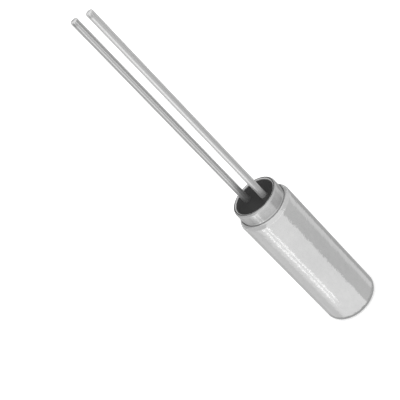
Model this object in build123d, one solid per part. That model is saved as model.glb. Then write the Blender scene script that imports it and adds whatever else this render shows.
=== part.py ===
from build123d import *
import os

# Two-lead quartz crystal in a cylindrical metal can, millimetres.
# The can stands on its closed end: the origin is the centre of that end's outer face,
# +Z runs up the can towards the open mouth and the leads, and the leads lie along X.

# ---- can: a deep-drawn cup ----
can_diameter = 3.0
can_length = 8.28
can_wall = 0.22
can_end_wall = 0.25
can_end_round = 0.33
can_end_inner_round = 0.12
mouth_round = 0.27
mouth_inner_round = 0.03

# ---- header ring: the eyelet that is pressed into the mouth ----
ring_wall = 0.17
ring_proud = 0.75
ring_seat_depth = 1.25
ring_edge_round = 0.07
ring_lead_in = 0.06

# ---- glass seal ----
glass_recess = 0.13
glass_inner_recess = 0.10
glass_creep = 0.05

# ---- leads ----
lead_diameter = 0.37
lead_pitch = 1.10
lead_reach_left = 12.90
lead_reach_right = 13.01
lead_tip_chamfer = 0.03
lead_neck_diameter = 0.34
lead_stub = 0.15
shoulder_length = 0.35
blade_width = 0.44
blade_thickness = 0.16
blade_corner = 0.05
blade_length = 1.10

# ---- quartz blank and its two joints ----
blank_thickness = 0.26
blank_bevel = 0.06
blank_overlap = 0.80
blank_end_clearance = 0.68
blank_side_margin = 0.13
joint_diameter = 0.40
joint_thickness = 0.06

# ---- sizes that follow from those ----
can_radius = can_diameter / 2
bore_radius = can_radius - can_wall
ring_inner_radius = bore_radius - ring_wall
ring_low = can_length - ring_seat_depth
ring_high = can_length + ring_proud
glass_low = ring_low + glass_inner_recess
glass_high = ring_high - glass_recess
wire_low = glass_high + glass_creep
lead_radius = lead_diameter / 2
neck_radius = lead_neck_diameter / 2
shoulder_high = glass_low - lead_stub
blade_high = shoulder_high - shoulder_length
blade_low = blade_high - blade_length
blank_high = blade_low + blank_overlap
blank_low = can_end_wall + blank_end_clearance
blank_width = lead_pitch + blade_width + 2 * blank_side_margin
joint_centre_z = blade_low + blank_overlap / 2
joint_near_y = blade_thickness / 2
blank_near_y = joint_near_y + joint_thickness
overrun = 1.0
left_x = -lead_pitch / 2
right_x = lead_pitch / 2


def rod(radius, low, high):
    """A round bar on the Z axis from one height to another."""
    upward = (Align.CENTER, Align.CENTER, Align.MIN)
    return Pos(0, 0, low) * Cylinder(radius, high - low, align=upward)


def circles(solid):
    """The solid's round edges, lowest first."""
    return solid.edges().filter_by(GeomType.CIRCLE).sort_by(Axis.Z)


def turned(outline):
    """The ring or disc that an outline in the XZ plane sweeps about the Z axis."""
    return revolve(make_face(Plane.XZ * outline), Axis.Z)


def concave_ring(wall_radius, level, creep, inside_the_wall):
    """Glass drawn up a round wall by surface tension: a ring with a hollow quarter-round section."""
    side = -1 if inside_the_wall else 1
    foot = wall_radius + side * creep
    arc_start = 270 if inside_the_wall else 180
    outline = CenterArc((foot, level + creep), creep, arc_start, 90)
    outline += Polyline(
        (wall_radius, level + creep),
        (wall_radius, level - creep),
        (foot, level - creep),
        (foot, level),
    )
    return turned(outline)


def make_can():
    """The cup: a rounded closed end, a straight barrel and a mouth whose edge is rolled inwards."""
    shell = rod(can_radius, 0, can_length)
    shell = fillet(circles(shell)[0], can_end_round)
    shell = fillet(circles(shell)[-1], mouth_round)
    cavity = rod(bore_radius, can_end_wall, can_length + overrun)
    shell -= fillet(circles(cavity)[0], can_end_inner_round)
    return fillet(circles(shell)[-1], min(mouth_inner_round, can_wall * 0.3))


def make_header_ring():
    """The eyelet: a plain tube that fills the can's bore and stands proud of its mouth."""
    tube = rod(bore_radius, ring_low, ring_high)
    tube = chamfer(circles(tube)[0], ring_lead_in)
    tube -= rod(ring_inner_radius, ring_low - overrun, ring_high + overrun)
    return fillet(circles(tube)[-2:], min(ring_edge_round, ring_wall * 0.45))


def seal_stretch(x):
    """The part of a lead that the glass grips, slightly narrower towards the can's inside."""
    upward = (Align.CENTER, Align.CENTER, Align.MIN)
    cone = Cone(neck_radius, lead_radius, wire_low - glass_low, align=upward)
    return Pos(x, 0, glass_low) * cone


def make_glass_seal():
    """A glass disc that has crept up the ring's wall and up both leads."""
    seal = rod(ring_inner_radius, glass_low, glass_high)
    seal += concave_ring(ring_inner_radius, glass_high, glass_creep, True)
    collar = concave_ring(lead_radius, glass_high, glass_creep, False)
    for x in (left_x, right_x):
        seal += Pos(x, 0, 0) * collar
        seal -= seal_stretch(x)
    return seal


def make_lead(x, reach):
    """One wire: straight outside, gripped by the glass, and coined flat at its inner end."""
    wire = rod(lead_radius, wire_low, ring_high + reach)
    wire = chamfer(circles(wire)[-1], lead_tip_chamfer)
    stub = rod(neck_radius, shoulder_high, glass_low)
    shoulder = loft([
        Pos(0, 0, blade_high) * RectangleRounded(blade_width, blade_thickness, blade_corner),
        Pos(0, 0, shoulder_high) * Circle(neck_radius),
    ])
    blade = extrude(
        Pos(0, 0, blade_low) * RectangleRounded(blade_width, blade_thickness, blade_corner),
        blade_high - blade_low,
    )
    return Pos(x, 0, 0) * (wire + stub + shoulder + blade) + seal_stretch(x)


def make_quartz_blank():
    """The resonator: a bar of quartz with bevelled ends, held at its upper end only."""
    standing = (Align.CENTER, Align.MIN, Align.MAX)
    bar = Box(blank_width, blank_thickness, blank_high - blank_low, align=standing)
    ends = bar.faces().sort_by(Axis.Z)
    bar = chamfer(ends[0].edges() + ends[-1].edges(), blank_bevel)
    return Pos(0, blank_near_y, blank_high) * bar


def make_joint(x):
    """A dot of conductive cement between a lead's blade and the blank's near face."""
    dot = Cylinder(joint_diameter / 2, joint_thickness, align=(Align.CENTER, Align.CENTER, Align.MAX))
    return Pos(x, joint_near_y, joint_centre_z) * Rot(90, 0, 0) * dot


nodes = {
    "can": make_can(),
    "header_ring": make_header_ring(),
    "glass_seal": make_glass_seal(),
    "lead_left": make_lead(left_x, lead_reach_left),
    "lead_right": make_lead(right_x, lead_reach_right),
    "quartz_blank": make_quartz_blank(),
    "joint_left": make_joint(left_x),
    "joint_right": make_joint(right_x),
}

os.makedirs("parts", exist_ok=True)
for name, solid in nodes.items():
    export_step(solid, f"parts/{name}.step")
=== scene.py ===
from math import acos, atan2, copysign, cos, degrees, pi, radians, sin

import bmesh
import bpy
from mathutils import Matrix, Vector


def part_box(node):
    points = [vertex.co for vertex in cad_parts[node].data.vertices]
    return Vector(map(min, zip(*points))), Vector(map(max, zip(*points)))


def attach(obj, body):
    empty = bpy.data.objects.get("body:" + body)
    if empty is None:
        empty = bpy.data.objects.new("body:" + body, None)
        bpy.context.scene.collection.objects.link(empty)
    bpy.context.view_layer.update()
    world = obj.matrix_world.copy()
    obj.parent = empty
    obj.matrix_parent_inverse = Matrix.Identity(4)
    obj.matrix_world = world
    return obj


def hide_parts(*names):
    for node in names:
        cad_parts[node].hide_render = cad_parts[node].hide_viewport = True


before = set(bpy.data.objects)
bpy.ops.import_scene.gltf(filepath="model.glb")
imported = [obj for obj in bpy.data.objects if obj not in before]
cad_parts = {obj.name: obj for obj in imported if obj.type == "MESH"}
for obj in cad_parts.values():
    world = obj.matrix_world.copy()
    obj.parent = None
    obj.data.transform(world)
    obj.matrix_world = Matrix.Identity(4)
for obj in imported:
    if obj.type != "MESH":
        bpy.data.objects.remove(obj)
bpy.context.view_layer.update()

# A two-lead cylindrical quartz crystal that stands on its closed end, leads upwards.
# Lengths are in metres, apart from those in the materials, which are in millimetres.

MM = 0.001

# ---- radii and heights of the parts that show, read from the CAD ----
CAN_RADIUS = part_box("can")[1][0]
RING_LOW, RING_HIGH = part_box("header_ring")
GLASS_LOW, GLASS_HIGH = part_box("glass_seal")
RING_RADIUS = RING_HIGH[0]
GLASS_RADIUS = GLASS_HIGH[0]
RING_BOTTOM, RING_TOP = RING_LOW[2], RING_HIGH[2]
GLASS_BOTTOM, GLASS_TOP = GLASS_LOW[2], GLASS_HIGH[2]

# ---- finer form, with the same rounds and walls as the part's source ----
RING_PROUD = 0.75 * MM
CAN_MOUTH = RING_TOP - RING_PROUD
END_ROUND = 0.33 * MM
END_WALL = 0.25 * MM
MOUTH_ROUND = 0.27 * MM
MOUTH_INNER_ROUND = 0.03 * MM
RING_EDGE = 0.11 * MM
RING_INNER_EDGE = 0.05 * MM
RING_LEAD_IN = 0.06 * MM
GLASS_CREEP = 0.05 * MM
COLLAR_ROOT = 0.02 * MM
LEAD_RADIUS = 0.185 * MM
NECK_RADIUS = 0.17 * MM
STUB_LENGTH = 0.15 * MM
SHOULDER_LENGTH = 0.35 * MM
BLADE_HALF_WIDTH = 0.22 * MM
BLADE_HALF_THICKNESS = 0.08 * MM
TIP_ROUND = 0.05 * MM

# Power of the sine and cosine in a wire's outline: 1 is an ellipse, less is squarer.
ROUND = 1.0
BLADE_SQUARENESS = 0.35

# ---- fineness of the meshes ----
LATHE_SEGMENTS = 192
WIRE_SEGMENTS = 64
ARC_STEPS = 14
CREEP_STEPS = 8
TIP_STEPS = 6
CAN_STEPS = 24
CAN_INNER_STEPS = 6
RING_STEPS = 16
RING_INNER_STEPS = 8
GLASS_SIDE_STEPS = 8
GLASS_FACE_STEPS = 12
WIRE_STEPS = 90
ON_AXIS = 1e-9


# ---------------------------------------------------------------- mesh helpers

def arc(centre_r, centre_z, radius, start_deg, end_deg, steps=ARC_STEPS):
    """Points (radius from the axis, height) along an arc of an outline."""
    points = []
    for i in range(steps + 1):
        a = radians(start_deg + (end_deg - start_deg) * i / steps)
        points.append((centre_r + radius * cos(a), centre_z + radius * sin(a)))
    return points


def run(start, end, steps):
    """Points along a straight stretch of an outline, without its two ends."""
    return [
        (
            start[0] + (end[0] - start[0]) * i / steps,
            start[1] + (end[1] - start[1]) * i / steps,
        )
        for i in range(1, steps)
    ]


def circle(radius, height, segments, centre_x=0.0):
    """Points round a vertical axis."""
    turns = [2 * pi * k / segments for k in range(segments)]
    return [(centre_x + radius * cos(t), radius * sin(t), height) for t in turns]


def add_ring(bm, points):
    """New vertices at the points."""
    return [bm.verts.new(p) for p in points]


def bridge(bm, a, b):
    """Faces between two rings of vertices, either of which may be a single pole."""
    n = max(len(a), len(b))
    for k in range(n):
        m = (k + 1) % n
        if len(a) == 1:
            bm.faces.new((a[0], b[k], b[m]))
        elif len(b) == 1:
            bm.faces.new((a[k], b[0], a[m]))
        else:
            bm.faces.new((a[k], b[k], b[m], a[m]))


def join(bm, rings, closed):
    """Faces from each ring to the next, and from the last to the first if closed."""
    following = rings[1:] + rings[:1] if closed else rings[1:]
    for a, b in zip(rings, following):
        bridge(bm, a, b)


def lathe(outline, closed):
    """A surface turned about the Z axis; points on the axis become poles."""
    bm = bmesh.new()
    rings = []
    for r, z in outline:
        points = [(0, 0, z)] if r < ON_AXIS else circle(r, z, LATHE_SEGMENTS)
        rings.append(add_ring(bm, points))
    join(bm, rings, closed)
    return bm


def mesh_piece(name, bm, material, node):
    """Makes a smooth piece that rides on the part and stands for its CAD node."""
    bmesh.ops.recalc_face_normals(bm, faces=bm.faces)
    mesh = bpy.data.meshes.new(name)
    bm.to_mesh(mesh)
    bm.free()
    mesh.polygons.foreach_set("use_smooth", [True] * len(mesh.polygons))
    piece = bpy.data.objects.new(name, mesh)
    bpy.context.scene.collection.objects.link(piece)
    mesh.materials.append(material)
    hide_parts(node)
    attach(piece, "root")


# ---------------------------------------------------------------- shader helpers

WHITE = (1.0, 1.0, 1.0, 1.0)

# The colour sockets of a Mix node share their names with others, so they go by number.
MIX_FIRST, MIX_SECOND, MIX_RESULT = 6, 7, 2


def grey(level):
    return (level, level, level)


class Nodes:
    """Short ways to add shader nodes to one material or world."""

    def __init__(self, owner, output="ShaderNodeOutputMaterial"):
        owner.use_nodes = True
        self.owner = owner
        self.tree = owner.node_tree
        self.tree.nodes.clear()
        self.out = self.tree.nodes.new(output)

    def add(self, kind, **settings):
        node = self.tree.nodes.new(kind)
        for key, value in settings.items():
            setattr(node, key, value)
        return node

    def link(self, a, b):
        self.tree.links.new(a, b)

    def position(self, stretch=(1.0, 1.0, 1.0)):
        """The object's own coordinates in millimetres, times stretch."""
        coords = self.add("ShaderNodeTexCoord")
        mapping = self.add("ShaderNodeMapping")
        mapping.inputs["Scale"].default_value = [s / MM for s in stretch]
        self.link(coords.outputs["Object"], mapping.inputs["Vector"])
        return mapping.outputs["Vector"]

    def axes(self):
        """The object's own X, Y and Z in millimetres."""
        split = self.add("ShaderNodeSeparateXYZ")
        self.link(self.position(), split.inputs["Vector"])
        return split.outputs["X"], split.outputs["Y"], split.outputs["Z"]

    def noise(self, scale, detail, roughness, stretch=(1.0, 1.0, 1.0)):
        node = self.add("ShaderNodeTexNoise")
        node.inputs["Scale"].default_value = scale
        node.inputs["Detail"].default_value = detail
        node.inputs["Roughness"].default_value = roughness
        self.link(self.position(stretch), node.inputs["Vector"])
        return node.outputs["Fac"]

    def spread(self, value, source, target=(0.0, 1.0)):
        """A value's source range mapped to the target range, and clamped to it."""
        node = self.add("ShaderNodeMapRange")
        node.inputs["From Min"].default_value = source[0]
        node.inputs["From Max"].default_value = source[1]
        node.inputs["To Min"].default_value = target[0]
        node.inputs["To Max"].default_value = target[1]
        self.link(value, node.inputs["Value"])
        return node.outputs["Result"]

    def vary(self, noise, target):
        """A noise, which mostly lies between 0.3 and 0.7, spread over the target range."""
        return self.spread(noise, (0.3, 0.7), target)

    def math(self, operation, a, b=0.0):
        node = self.add("ShaderNodeMath", operation=operation)
        for socket, value in zip(node.inputs, (a, b)):
            if isinstance(value, (int, float)):
                socket.default_value = value
            else:
                self.link(value, socket)
        return node.outputs["Value"]

    def blend_colour(self, factor, first, second):
        node = self.add("ShaderNodeMix", data_type="RGBA")
        self.link(factor, node.inputs["Factor"])
        for number, value in ((MIX_FIRST, first), (MIX_SECOND, second)):
            if isinstance(value, tuple):
                node.inputs[number].default_value = (*value, 1.0)
            else:
                self.link(value, node.inputs[number])
        return node.outputs[MIX_RESULT]

    def bump(self, height, depth, normal=None, strength=1.0):
        node = self.add("ShaderNodeBump")
        node.inputs["Strength"].default_value = strength
        node.inputs["Distance"].default_value = depth
        self.link(height, node.inputs["Height"])
        if normal is not None:
            self.link(normal, node.inputs["Normal"])
        return node.outputs["Normal"]

    def glow(self):
        node = self.add("ShaderNodeEmission")
        node.inputs["Color"].default_value = WHITE
        return node

    def principled(self, **values):
        node = self.add("ShaderNodeBsdfPrincipled")
        for key, value in values.items():
            node.inputs[key].default_value = value
        self.link(node.outputs["BSDF"], self.out.inputs["Surface"])
        return node


def new_material(name):
    return Nodes(bpy.data.materials.new(name))


# ---------------------------------------------------------------- materials

# Heights and radii of the ring's painted shade towards the can's mouth, its painted highlight line
# at the can's mouth and its matt rim, painted lighter as a highlight.
SHADE_TOWARDS_MOUTH_HEIGHTS = (8.40, 8.95)
HIGHLIGHT_LINE_HEIGHT = 8.335
HIGHLIGHT_LINE_HALF_WIDTH = 0.05
MATT_HIGHLIGHT_RIM_RADII = (1.15, 1.175)
MATT_HIGHLIGHT_RIM_HEIGHTS = (8.9, 8.95)

# The wire's foot at the glass, dull and painted dark as shade and as a reflection of the dark
# glass, its lengthwise marks with painted dark streaks, its bare cut end and the dark mark under
# it.
FOOT_HEIGHTS = (8.9, 10.6)
DIE_MARK_STREAK_COUNT = 9.0
DARK_STREAK_ANGLE = radians(-42)
CUT_BELOW_TIP = (0.05, 0.02)
CUT_MARK = (0.037, -0.104, 0.17)
CUT_MARK_REACH = (0.05, 0.12)
CUT_MARK_SQUEEZE = 0.8


def can_metal():
    """Drawn and nickel-plated can: bright satin, with a fine tooth that frays what it reflects."""
    n = new_material("can_metal")
    shader = n.principled(Metallic=1.0)
    lines = n.noise(scale=1.0, detail=5.0, roughness=0.6, stretch=(9.0, 9.0, 0.6))
    tooth = n.noise(scale=8.0, detail=2.0, roughness=0.6, stretch=(1.0, 1.0, 1.3))
    ripple = n.noise(scale=3.0, detail=2.0, roughness=0.5, stretch=(1.0, 1.0, 1.6))
    cloud = n.noise(scale=0.9, detail=3.0, roughness=0.5, stretch=(1.0, 1.0, 0.35))
    mottle = n.noise(scale=3.5, detail=4.0, roughness=0.65, stretch=(1.0, 1.0, 0.7))
    patches = n.math("ADD", n.vary(cloud, (-0.1, 0.6)), n.vary(mottle, (-0.1, 0.6)))
    tone = n.blend_colour(n.spread(patches, (0.0, 1.0)), grey(0.636), (0.688, 0.688, 0.686))
    n.link(tone, shader.inputs["Base Color"])
    rough = n.math("ADD", n.vary(lines, (-0.02, 0.02)), n.vary(cloud, (0.10, 0.14)))
    n.link(rough, shader.inputs["Roughness"])
    rippled = n.bump(ripple, 0.015 * MM)
    toothed = n.bump(tooth, 0.006 * MM, rippled)
    n.link(n.bump(lines, 0.0006 * MM, toothed), shader.inputs["Normal"])
    return n.owner


def ring_metal():
    """The eyelet's plating, with painted shade that darkens it towards the can's mouth, a painted
    highlight line just above the mouth, a random stain, and a matt inner rim painted lighter as a
    highlight.
    """
    n = new_material("ring_metal")
    shader = n.principled()
    stain = n.noise(scale=2.2, detail=4.0, roughness=0.6)
    grain = n.noise(scale=1.6, detail=4.0, roughness=0.6, stretch=(2.0, 2.0, 10.0))
    tooth = n.noise(scale=9.0, detail=2.0, roughness=0.6)
    x, y, z = n.axes()
    # Painted shade: the ring is darker towards the can's mouth and lighter towards its top.
    painted_shade_rise = n.spread(z, SHADE_TOWARDS_MOUTH_HEIGHTS, (0.0, 0.78))
    # Painted highlight: a thin light line just above the can's mouth, where a small edge would
    # catch the light.
    from_line = n.math("ABSOLUTE", n.math("SUBTRACT", z, HIGHLIGHT_LINE_HEIGHT))
    painted_highlight_line = n.spread(from_line, (0.0, HIGHLIGHT_LINE_HALF_WIDTH), (0.8, 0.0))
    tone = n.math("ADD", n.math("ADD", painted_shade_rise, painted_highlight_line), n.vary(stain, (-0.2, 0.42)))
    colour = n.blend_colour(n.spread(tone, (0.0, 1.0)), grey(0.43), grey(0.58))
    # Painted highlight: the inner rim at the top is made less metallic and painted a lighter grey,
    # for the light band that the inner wall catches.
    squares = n.math("ADD", n.math("POWER", x, 2.0), n.math("POWER", y, 2.0))
    inside = n.spread(n.math("SQRT", squares), MATT_HIGHLIGHT_RIM_RADII, (1.0, 0.0))
    matt_highlight_rim = n.math("MULTIPLY", inside, n.spread(z, MATT_HIGHLIGHT_RIM_HEIGHTS))
    n.link(n.blend_colour(matt_highlight_rim, colour, grey(0.70)), shader.inputs["Base Color"])
    n.link(n.spread(matt_highlight_rim, (0.0, 1.0), (1.0, 0.35)), shader.inputs["Metallic"])
    n.link(n.vary(grain, (0.13, 0.20)), shader.inputs["Roughness"])
    toothed = n.bump(tooth, 0.002 * MM)
    n.link(n.bump(grain, 0.002 * MM, toothed), shader.inputs["Normal"])
    return n.owner


def seal_glass():
    """Dark opaque sealing glass, smooth, with a faint speckle."""
    n = new_material("seal_glass")
    shader = n.principled(IOR=1.5)
    speckle = n.noise(scale=9.0, detail=3.0, roughness=0.6)
    tone = n.blend_colour(n.spread(speckle, (0.35, 0.7)), grey(0.030), grey(0.038))
    n.link(tone, shader.inputs["Base Color"])
    n.link(n.vary(speckle, (0.38, 0.46)), shader.inputs["Roughness"])
    n.link(n.bump(speckle, 0.001 * MM), shader.inputs["Normal"])
    return n.owner


def tinned_wire(name, painted_light_factor, foot_painted_shade, mark_and_streak_strength, centre_x, tip):
    """Tin-dipped wire: die marks along its length with painted dark streaks, a foot at the glass
    that is dull and painted dark as shade and as a reflection of the glass, bare at the cut.

    centre_x and tip are the wire's axis and top in metres.
    """
    axis_x = centre_x / MM
    top = tip / MM
    n = new_material(name)
    shader = n.principled()
    x, y, z = n.axes()

    # Painted reflection: stripes round the wire, darkest on the side that faces the camera, stand
    # in for the dark streaks the wire reflects. They also bump the surface as die marks.
    turn = n.math("ARCTAN2", y, n.math("SUBTRACT", x, axis_x))
    around = n.math("SUBTRACT", turn, DARK_STREAK_ANGLE)
    wave = n.math("COSINE", n.math("MULTIPLY", around, DIE_MARK_STREAK_COUNT))
    grain = n.noise(scale=1.0, detail=2.0, roughness=0.5, stretch=(11.0, 11.0, 0.02))
    marks_and_streaks = n.math("ADD", n.math("MULTIPLY", wave, -mark_and_streak_strength), grain)
    beads = n.noise(scale=1.5, detail=3.0, roughness=0.5, stretch=(1.5, 1.5, 0.4))
    # Painted light: each lead's tones are scaled by its own factor, with the left lead painted
    # darker as if shaded by the right lead and the right lead lighter.
    tone = n.blend_colour(n.spread(marks_and_streaks, (0.35, 0.65)), grey(0.45 * painted_light_factor), grey(0.70 * painted_light_factor))

    # Painted shade and painted reflection of the dark glass: the foot near the glass is blended to
    # a dark grey. It is also made less metallic and rougher.
    ragged_height = n.math("ADD", z, n.vary(beads, (-0.2, 0.2)))
    foot = n.spread(ragged_height, FOOT_HEIGHTS, (1.0, 0.0))
    with_foot = n.blend_colour(foot, tone, grey(foot_painted_shade))
    cut = n.spread(z, (top - CUT_BELOW_TIP[0], top - CUT_BELOW_TIP[1]))
    with_cut = n.blend_colour(cut, with_foot, grey(0.74))

    mark = n.add("ShaderNodeVectorMath", operation="DISTANCE")
    n.link(n.position((1.0, 1.0, CUT_MARK_SQUEEZE)), mark.inputs[0])
    mark.inputs[1].default_value = (
        axis_x + CUT_MARK[0],
        CUT_MARK[1],
        (top - CUT_MARK[2]) * CUT_MARK_SQUEEZE,
    )
    dark = n.spread(mark.outputs["Value"], CUT_MARK_REACH, (0.75, 0.0))
    n.link(n.blend_colour(dark, with_cut, grey(0.16)), shader.inputs["Base Color"])

    n.link(n.spread(foot, (0.0, 1.0), (0.78, 0.45)), shader.inputs["Metallic"])
    rough = n.math("ADD", n.vary(beads, (0.20, 0.26)), n.spread(foot, (0.0, 1.0), (0.0, 0.2)))
    n.link(rough, shader.inputs["Roughness"])
    n.link(n.bump(marks_and_streaks, 0.003 * MM), shader.inputs["Normal"])
    return n.owner


def quartz_with_film():
    """Clear quartz with a thin silver film over its faces."""
    n = new_material("quartz")
    shader = n.principled(Metallic=0.6, IOR=1.54)
    frost = n.noise(scale=6.0, detail=3.0, roughness=0.5)
    tone = n.blend_colour(frost, (0.72, 0.76, 0.80), (0.86, 0.88, 0.90))
    n.link(tone, shader.inputs["Base Color"])
    n.link(n.vary(frost, (0.12, 0.2)), shader.inputs["Roughness"])
    return n.owner


def silver_cement():
    """Silver-filled cement: dull and grainy."""
    n = new_material("cement")
    shader = n.principled(Metallic=0.7)
    grain = n.noise(scale=18.0, detail=4.0, roughness=0.6)
    tone = n.blend_colour(grain, (0.42, 0.42, 0.41), (0.62, 0.62, 0.60))
    n.link(tone, shader.inputs["Base Color"])
    n.link(n.vary(grain, (0.45, 0.6)), shader.inputs["Roughness"])
    n.link(n.bump(grain, 0.01 * MM, strength=0.3), shader.inputs["Normal"])
    return n.owner


# ---------------------------------------------------------------- pieces

def make_can(material):
    """The cup's whole skin, outside and inside."""
    flat_radius = CAN_RADIUS - END_ROUND
    lip_r = CAN_RADIUS - MOUTH_ROUND
    lip_z = CAN_MOUTH - MOUTH_ROUND
    lip_inner = RING_RADIUS + MOUTH_INNER_ROUND * 0.5
    lip_drop = MOUTH_INNER_ROUND * 0.6
    outline = [(0.0, 0.0), (flat_radius * 0.5, 0.0)]
    outline += arc(flat_radius, END_ROUND, END_ROUND, -90, 0)
    outline += run((CAN_RADIUS, END_ROUND), (CAN_RADIUS, lip_z), CAN_STEPS)
    outline += arc(lip_r, lip_z, MOUTH_ROUND, 0, degrees(acos((lip_inner - lip_r) / MOUTH_ROUND)))
    outline += [(RING_RADIUS, outline[-1][1] - lip_drop)]
    outline += run(outline[-1], (RING_RADIUS, END_WALL), CAN_INNER_STEPS)
    outline += [(RING_RADIUS, END_WALL), (0.0, END_WALL)]
    mesh_piece("can_shell", lathe(outline, False), material, "can")


def make_ring(material):
    """The eyelet: a tube with a half-round lip."""
    inner = GLASS_RADIUS
    outer_low = (RING_RADIUS, RING_BOTTOM + RING_LEAD_IN)
    outer_high = (RING_RADIUS, RING_TOP - RING_EDGE)
    inner_high = (inner, RING_TOP - RING_INNER_EDGE)
    outline = [(inner, RING_BOTTOM), (RING_RADIUS - RING_LEAD_IN, RING_BOTTOM), outer_low]
    outline += run(outer_low, outer_high, RING_STEPS)
    outline += arc(RING_RADIUS - RING_EDGE, outer_high[1], RING_EDGE, 0, 90)
    outline += arc(inner + RING_INNER_EDGE, inner_high[1], RING_INNER_EDGE, 90, 180)
    outline += run(inner_high, (inner, RING_BOTTOM), RING_INNER_STEPS)
    mesh_piece("header_eyelet", lathe(outline, True), material, "header_ring")


def make_glass(material, lead_centres):
    """The glass disc with its crept-up rim, and a small collar round each lead."""
    face = GLASS_TOP - GLASS_CREEP
    creep_top = face + GLASS_CREEP
    flat_radius = GLASS_RADIUS - GLASS_CREEP
    outline = [(0.0, GLASS_BOTTOM), (GLASS_RADIUS, GLASS_BOTTOM)]
    outline += run((GLASS_RADIUS, GLASS_BOTTOM), (GLASS_RADIUS, creep_top), GLASS_SIDE_STEPS)
    outline += arc(flat_radius, creep_top, GLASS_CREEP, 0, -90, CREEP_STEPS)
    outline += run((flat_radius, face), (0.0, face), GLASS_FACE_STEPS)
    outline += [(0.0, face)]
    bm = lathe(outline, False)

    collar_radius = LEAD_RADIUS + GLASS_CREEP
    collar = arc(collar_radius, creep_top, GLASS_CREEP, 180, 270, CREEP_STEPS)
    collar += [(collar_radius, face - COLLAR_ROOT), (LEAD_RADIUS, face - COLLAR_ROOT)]
    for x in lead_centres:
        rings = [add_ring(bm, circle(r, z, WIRE_SEGMENTS, x)) for r, z in collar]
        join(bm, rings, True)
    mesh_piece("seal", bm, material, "glass_seal")


def make_lead(name, node, material):
    """A wire, round outside the can and coined flat at its inner end."""
    low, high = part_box(node)
    centre_x = (low[0] + high[0]) / 2
    neck_low = GLASS_BOTTOM - STUB_LENGTH
    tip_low = high[2] - TIP_ROUND
    blade = (BLADE_HALF_WIDTH, BLADE_HALF_THICKNESS, BLADE_SQUARENESS)
    neck = (NECK_RADIUS, NECK_RADIUS, ROUND)
    stations = [
        (low[2], *blade),
        (neck_low - SHOULDER_LENGTH, *blade),
        (neck_low, *neck),
        (GLASS_BOTTOM, *neck),
    ]
    for i in range(WIRE_STEPS + 1):
        z = GLASS_TOP + (tip_low - GLASS_TOP) * i / WIRE_STEPS
        stations.append((z, LEAD_RADIUS, LEAD_RADIUS, ROUND))
    for r, z in arc(LEAD_RADIUS - TIP_ROUND, tip_low, TIP_ROUND, 0, 90, TIP_STEPS)[1:]:
        stations.append((z, r, r, ROUND))

    # Half a step of turn keeps the sine and cosine away from zero.
    turns = [2 * pi * (k + 0.5) / WIRE_SEGMENTS for k in range(WIRE_SEGMENTS)]
    bm = bmesh.new()
    rings = []
    for z, half_x, half_y, power in stations:
        points = []
        for turn in turns:
            x = half_x * copysign(abs(cos(turn)) ** power, cos(turn))
            y = half_y * copysign(abs(sin(turn)) ** power, sin(turn))
            points.append((centre_x + x, y, z))
        rings.append(add_ring(bm, points))
    join(bm, rings, False)
    bm.faces.new(rings[0])
    bridge(bm, rings[-1], add_ring(bm, [(centre_x, 0, high[2])]))
    mesh_piece(name, bm, material, node)


# ---------------------------------------------------------------- camera

VIEW_AZIMUTH = 48.0
VIEW_ELEVATION = 32.4676
VIEW_ROLL = -43.8567
VIEW_TURN = -2.1112
VIEW_TILT = -0.7868
VIEW_DISTANCE = 56.2666 * MM
VIEW_HEIGHT = 10.0 * MM
FOCAL_PIXELS = 1150.525
FRAME_PIXELS = 400
SENSOR = 36.0
CLIP_START = 1 * MM
CLIP_END = 5.0


def direction_to_camera():
    a = radians(VIEW_AZIMUTH)
    e = radians(VIEW_ELEVATION)
    return Vector((sin(a) * cos(e), -cos(a) * cos(e), sin(e)))


TO_CAMERA = direction_to_camera()

# Angles about the Z axis of the side that faces the camera and of the far side.
FACING = atan2(TO_CAMERA.y, TO_CAMERA.x)
BEHIND = atan2(-TO_CAMERA.y, -TO_CAMERA.x)


def make_camera():
    right = Vector((0, 0, 1)).cross(TO_CAMERA).normalized()
    up = TO_CAMERA.cross(right)
    roll = radians(VIEW_ROLL)
    x_axis = right * cos(roll) + up * sin(roll)
    y_axis = up * cos(roll) - right * sin(roll)
    turn = Matrix((x_axis, y_axis, TO_CAMERA)).transposed()
    turn = turn @ Matrix.Rotation(radians(-VIEW_TURN), 3, "Y")
    turn = turn @ Matrix.Rotation(radians(VIEW_TILT), 3, "X")
    place = Vector((0, 0, VIEW_HEIGHT)) + TO_CAMERA * VIEW_DISTANCE
    data = bpy.data.cameras.new("camera")
    data.sensor_width = SENSOR
    data.lens = FOCAL_PIXELS / FRAME_PIXELS * SENSOR
    data.clip_start = CLIP_START
    data.clip_end = CLIP_END
    camera = bpy.data.objects.new("camera", data)
    camera.matrix_world = Matrix.Translation(place) @ turn.to_4x4()
    bpy.context.scene.collection.objects.link(camera)
    bpy.context.scene.camera = camera


# ---------------------------------------------------------------- floor, world and lamp

FLOOR_HALF_SIZE = 1.5
FLOOR_COLOUR = (0.9, 0.9, 0.9, 1.0)
FLOOR_GLOW = 0.40
WORLD_LIGHT = 0.85
WORLD_SEEN = 1.0
LAMP_PLACE = (0.05, -0.12, 0.25)
LAMP_AIM = (0, 0, 8 * MM)
LAMP_SIZE = 0.15
LAMP_POWER = 0.13


def seen_directly(n):
    """1 for camera, glossy and transmission rays, 0 for the rays that carry diffuse light."""
    path = n.add("ShaderNodeLightPath")
    both = n.math("MAXIMUM", path.outputs["Is Camera Ray"], path.outputs["Is Glossy Ray"])
    return n.math("MAXIMUM", both, path.outputs["Is Transmission Ray"])


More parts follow.
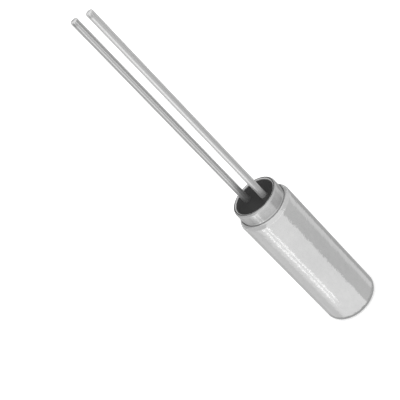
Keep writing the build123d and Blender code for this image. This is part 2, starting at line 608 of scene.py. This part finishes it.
def make_floor():
    """A pale floor that shows white, and darkens a little in the part's shadow."""
    n = new_material("floor")
    diffuse = n.add("ShaderNodeBsdfDiffuse")
    diffuse.inputs["Color"].default_value = FLOOR_COLOUR
    glow = n.glow()
    n.link(n.math("MULTIPLY", seen_directly(n), FLOOR_GLOW), glow.inputs["Strength"])
    both = n.add("ShaderNodeAddShader")
    n.link(diffuse.outputs["BSDF"], both.inputs[0])
    n.link(glow.outputs["Emission"], both.inputs[1])
    n.link(both.outputs["Shader"], n.out.inputs["Surface"])
    s = FLOOR_HALF_SIZE
    mesh = bpy.data.meshes.new("floor")
    mesh.from_pydata([(-s, -s, 0), (s, -s, 0), (s, s, 0), (-s, s, 0)], [], [(0, 1, 2, 3)])
    mesh.materials.append(n.owner)
    floor = bpy.data.objects.new("floor", mesh)
    bpy.context.scene.collection.objects.link(floor)


def make_world():
    """Even light from all round, a little less than the white that is seen."""
    world = bpy.data.worlds.new("studio")
    bpy.context.scene.world = world
    n = Nodes(world, "ShaderNodeOutputWorld")
    background = n.add("ShaderNodeBackground")
    background.inputs["Color"].default_value = WHITE
    strength = n.spread(seen_directly(n), (0.0, 1.0), (WORLD_LIGHT, WORLD_SEEN))
    n.link(strength, background.inputs["Strength"])
    n.link(background.outputs["Background"], n.out.inputs["Surface"])


def make_lamp():
    """A softbox high up on the camera's side, which reflections don't show."""
    data = bpy.data.lights.new("softbox", "AREA")
    data.shape = "SQUARE"
    data.size = LAMP_SIZE
    data.energy = LAMP_POWER
    lamp = bpy.data.objects.new("softbox", data)
    lamp.visible_glossy = False
    lamp.location = LAMP_PLACE
    aim = Vector(LAMP_AIM) - Vector(LAMP_PLACE)
    lamp.rotation_euler = aim.to_track_quat("-Z", "Y").to_euler()
    bpy.context.scene.collection.objects.link(lamp)


# ---------------------------------------------------------------- reflectors
# They make the bands that the metal shows. The camera doesn't see them, and they light nothing.

CARD_REACH = 90 * MM
CARD_STEP_DEG = 2
CARD_LEAST_STEPS = 2
STREAK_START = 2.0 * MM

# Heights above the floor, which say which reflector lies on top.
BACK_CARD_HEIGHT = 0.003 * MM
CARD_HEIGHT = 0.005 * MM
GLOW_HEIGHT = 0.01 * MM
STREAK_HEIGHT = 0.015 * MM
FOOT_SHADE_HEIGHT = 0.02 * MM

BACK_CARD_LEVEL = 0.80
FOOT_SHADE_LEVEL = 0.48
FOOT_SHADE_REACH = 0.30 * MM

# Distance from the part's axis and height of each fold of the upright reflectors.
FLAG_PROFILE = ((30 * MM, 8 * MM), (30 * MM, 32 * MM), (5.5 * MM, 23.0 * MM))
SIDE_PROFILE = ((60 * MM, 1 * MM), (60 * MM, 120 * MM))
UPRIGHT_STEPS = 12

# Name, first and last angle round the can from the side that faces the camera, and level.
# A streak starts away from the can and lies on top of the cards.
CARDS = (
    ("card_left_edge", -90, -66, 0.62),
    ("card_left", -66, -43, 0.77),
    ("card_left_soft", -43, -37, 0.93),
    ("card_centre", -37, 17, 0.99),
    ("card_right", 17, 48, 0.67),
    ("card_right_light", 48, 62, 0.82),
    ("card_right_edge", 62, 90, 0.5),
    ("streak_glow", -35.8, -21.5, 1.06, STREAK_START, GLOW_HEIGHT),
    ("streak_one", -32.9, -31.5, 1.9, STREAK_START, STREAK_HEIGHT),
    ("streak_two", -24.9, -23.5, 1.9, STREAK_START, STREAK_HEIGHT),
)

# Name, profile, first and last angle round the part from straight behind it, and level.
UPRIGHTS = (
    ("flag_left", FLAG_PROFILE, -55, -26, 0.55),
    ("flag_centre", FLAG_PROFILE, -26, 26, 0.08),
    ("flag_right", FLAG_PROFILE, 26, 55, 0.55),
    ("side_left", SIDE_PROFILE, -135, -55, 0.78),
    ("side_right", SIDE_PROFILE, 55, 135, 0.72),
)


def show_to_metal(name, points, faces, level):
    """An even glow that shows only in reflections, and lights and shades nothing."""
    mesh = bpy.data.meshes.new(name)
    mesh.from_pydata(points, [], faces)
    n = new_material(name)
    glow = n.glow()
    glow.inputs["Strength"].default_value = level
    n.link(glow.outputs["Emission"], n.out.inputs["Surface"])
    mesh.materials.append(n.owner)
    card = bpy.data.objects.new(name, mesh)
    card.visible_camera = False
    card.visible_diffuse = False
    card.visible_shadow = False
    bpy.context.scene.collection.objects.link(card)


def make_card(name, first_deg, last_deg, level, start=0.0, height=CARD_HEIGHT):
    """A fan on the floor, which the barrel shows between two angles round the can."""
    steps = max(CARD_LEAST_STEPS, int((last_deg - first_deg) / CARD_STEP_DEG))
    lift = Vector((0, 0, height))
    points = []
    for i in range(steps + 1):
        around = radians(first_deg + (last_deg - first_deg) * i / steps)
        foot = Vector((cos(FACING + around), sin(FACING + around), 0)) * CAN_RADIUS
        # The metal turns a ray from the camera by twice the angle round the can.
        away = Vector((cos(FACING + 2 * around), sin(FACING + 2 * around), 0))
        points += [tuple(foot + away * reach + lift) for reach in (start, CARD_REACH)]
    faces = [(2 * i, 2 * i + 1, 2 * i + 3, 2 * i + 2) for i in range(steps)]
    show_to_metal(name, points, faces, level)


def make_back_card():
    """The strip of floor behind the part that the fans leave open."""
    away = Vector((-TO_CAMERA.x, -TO_CAMERA.y, 0)).normalized()
    side = Vector((-away.y, away.x, 0)) * CAN_RADIUS
    lift = Vector((0, 0, BACK_CARD_HEIGHT))
    far = away * CARD_REACH
    points = [tuple(p + lift) for p in (side, side + far, far - side, -side)]
    show_to_metal("card_back", points, [(0, 1, 2, 3)], BACK_CARD_LEVEL)


def make_foot_shade():
    """A dark ring on the floor round the foot, which the rounded corner shows as a thin line."""
    inner = circle(CAN_RADIUS - END_ROUND, FOOT_SHADE_HEIGHT, LATHE_SEGMENTS)
    outer = circle(CAN_RADIUS + FOOT_SHADE_REACH, FOOT_SHADE_HEIGHT, LATHE_SEGMENTS)
    points = [p for pair in zip(inner, outer) for p in pair]
    total = len(points)
    faces = [(k, k + 1, (k + 3) % total, (k + 2) % total) for k in range(0, total, 2)]
    show_to_metal("foot_painted_shade", points, faces, FOOT_SHADE_LEVEL)


def make_upright(name, profile, first_deg, last_deg, level):
    """A standing reflector, bent round the part."""
    row = len(profile)
    points = []
    faces = []
    for i in range(UPRIGHT_STEPS + 1):
        around = BEHIND + radians(first_deg + (last_deg - first_deg) * i / UPRIGHT_STEPS)
        points += [(reach * cos(around), reach * sin(around), height) for reach, height in profile]
    for i in range(UPRIGHT_STEPS):
        for a in range(i * row, i * row + row - 1):
            faces.append((a, a + 1, a + row + 1, a + row))
    show_to_metal(name, points, faces, level)


# ---------------------------------------------------------------- the scene

# Piece, CAD node, painted light factor of the tin (the left lead painted darker, as if in the
# right lead's shade, and the right lead lighter), painted shade of the foot at the glass, and
# strength of the lengthwise marks and their painted dark streaks.
LEADS = (
    ("wire_left", "lead_left", 0.86, 0.17, 0.24),
    ("wire_right", "lead_right", 1.05, 0.40, 0.05),
)

make_can(can_metal())
make_ring(ring_metal())
lead_centres = []
for piece_name, node_name, painted_light_factor, foot_painted_shade, mark_and_streak_strength in LEADS:
    box_low, box_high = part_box(node_name)
    centre = (box_low[0] + box_high[0]) / 2
    lead_centres.append(centre)
    tin = tinned_wire(piece_name, painted_light_factor, foot_painted_shade, mark_and_streak_strength, centre, box_high[2])
    make_lead(piece_name, node_name, tin)
make_glass(seal_glass(), lead_centres)

film = quartz_with_film()
cement = silver_cement()
for node_name, finish in (("quartz_blank", film), ("joint_left", cement), ("joint_right", cement)):
    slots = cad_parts[node_name].data.materials
    slots.clear()
    slots.append(finish)

make_camera()
make_floor()
make_world()
for card in CARDS:
    make_card(*card)
for upright in UPRIGHTS:
    make_upright(*upright)
make_back_card()
make_foot_shade()
make_lamp()

bpy.context.scene.view_settings.view_transform = "Standard"
